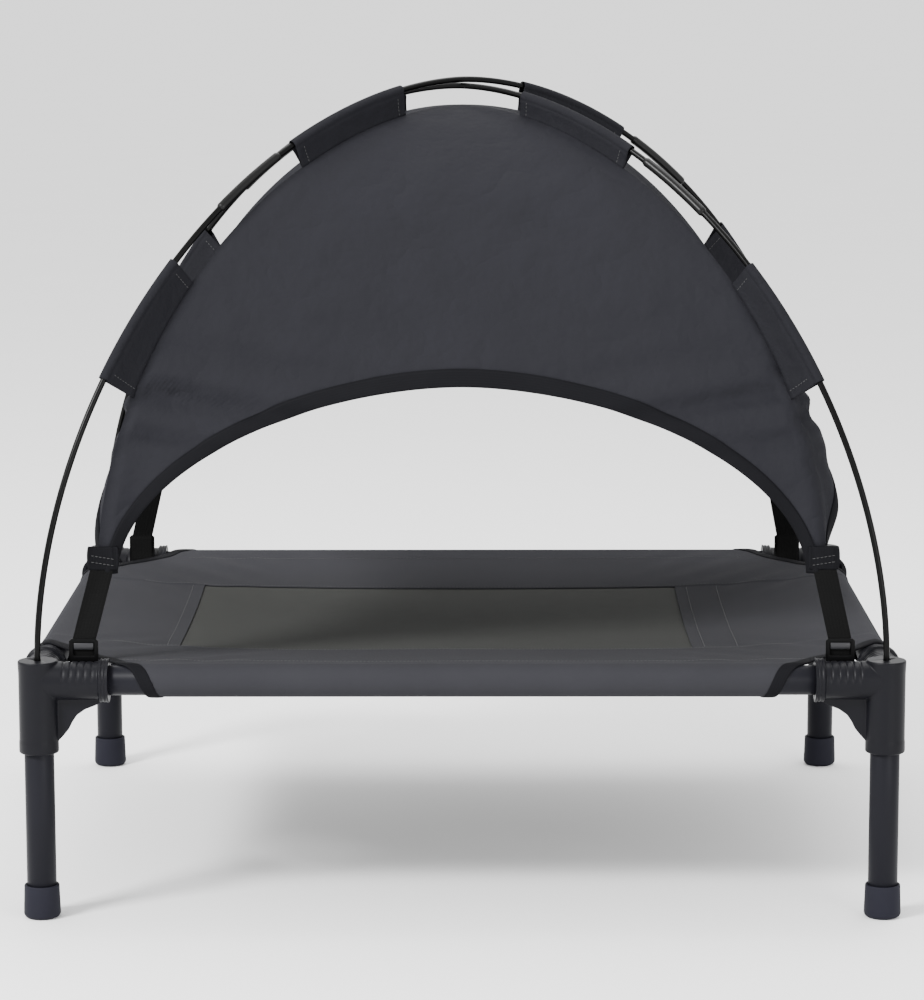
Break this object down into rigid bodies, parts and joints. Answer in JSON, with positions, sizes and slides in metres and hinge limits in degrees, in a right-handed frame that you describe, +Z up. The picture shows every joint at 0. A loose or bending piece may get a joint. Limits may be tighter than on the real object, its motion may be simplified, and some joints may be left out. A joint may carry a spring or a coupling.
{
  "type": "raised dog bed with canopy",
  "caption": "Raised dog bed: a fabric sheet with a mesh window on a tubular frame, under a lift-off sun tent on two crossed poles.",
  "frame": {"origin": "on the floor, under the centre of the bed", "axes": "+X to the right along the bed's long side, +Y from the front to the rear, +Z up"},
  "size_m": [0.76, 0.61, 0.708],
  "materials": {
    "tube": "satin powder coat, dark anthracite",
    "fitting": "moulded, fine satin grain",
    "foot": "smooth satin",
    "pole": "glossy black glass-fibre rod",
    "ferrule": "satin black",
    "canopy_fabric": "coated woven polyester, matt with a soft sheen",
    "sleeve_fabric": "coated woven polyester, matt with a soft sheen",
    "bed_fabric": "heavy coated oxford weave, matt",
    "net": "open knitted mesh, matt",
    "binding": "ribbed woven tape",
    "webbing": "ribbed flat webbing",
    "buckle": "moulded, satin black"
  },
  "bodies": {
    "bed": {"foot_front_left": "foot", "leg_front_left": "tube", "corner_fitting_front_left": "fitting", "foot_front_right": "foot", "leg_front_right": "tube", "corner_fitting_front_right": "fitting", "foot_rear_right": "foot", "leg_rear_right": "tube", "corner_fitting_rear_right": "fitting", "foot_rear_left": "foot", "leg_rear_left": "tube", "corner_fitting_rear_left": "fitting", "rail_front": "tube", "rail_rear": "tube", "rail_left": "tube", "rail_right": "tube", "bed_band_front": "bed_fabric", "bed_band_rear": "bed_fabric", "bed_panel_left": "bed_fabric", "bed_panel_right": "bed_fabric", "bed_net_window": "net", "corner_tape_front_left": "binding", "corner_tape_front_right": "binding", "corner_tape_rear_right": "binding", "corner_tape_rear_left": "binding", "strap_hook_front_left": "buckle", "strap_hook_front_right": "buckle", "strap_hook_rear_right": "buckle", "strap_hook_rear_left": "buckle"},
    "tent": {"pole_middle_upper": "pole", "pole_middle_lower": "pole", "pole_end_front_left": "pole", "pole_end_front_right": "pole", "pole_end_rear_right": "pole", "pole_end_rear_left": "pole", "ferrule_front_left": "ferrule", "ferrule_front_right": "ferrule", "ferrule_rear_right": "ferrule", "ferrule_rear_left": "ferrule", "sleeve_upper_front_left": "sleeve_fabric", "sleeve_upper_front_right": "sleeve_fabric", "sleeve_upper_rear_right": "sleeve_fabric", "sleeve_upper_rear_left": "sleeve_fabric", "sleeve_lower_front_left": "sleeve_fabric", "sleeve_lower_front_right": "sleeve_fabric", "sleeve_lower_rear_right": "sleeve_fabric", "sleeve_lower_rear_left": "sleeve_fabric", "canopy_front": "canopy_fabric", "canopy_right": "canopy_fabric", "canopy_rear": "canopy_fabric", "canopy_left": "canopy_fabric", "door_tape_front": "binding", "door_tape_right": "binding", "door_tape_rear": "binding", "door_tape_left": "binding", "strap_front_left": "webbing", "strap_front_right": "webbing", "strap_rear_right": "webbing", "strap_rear_left": "webbing"}
  },
  "joints": [
    {"name": "tent_lift", "type": "slide", "parent": "bed", "child": "tent", "axis": [0, 0, 1], "range_m": [0, 0.15]}
  ]
}
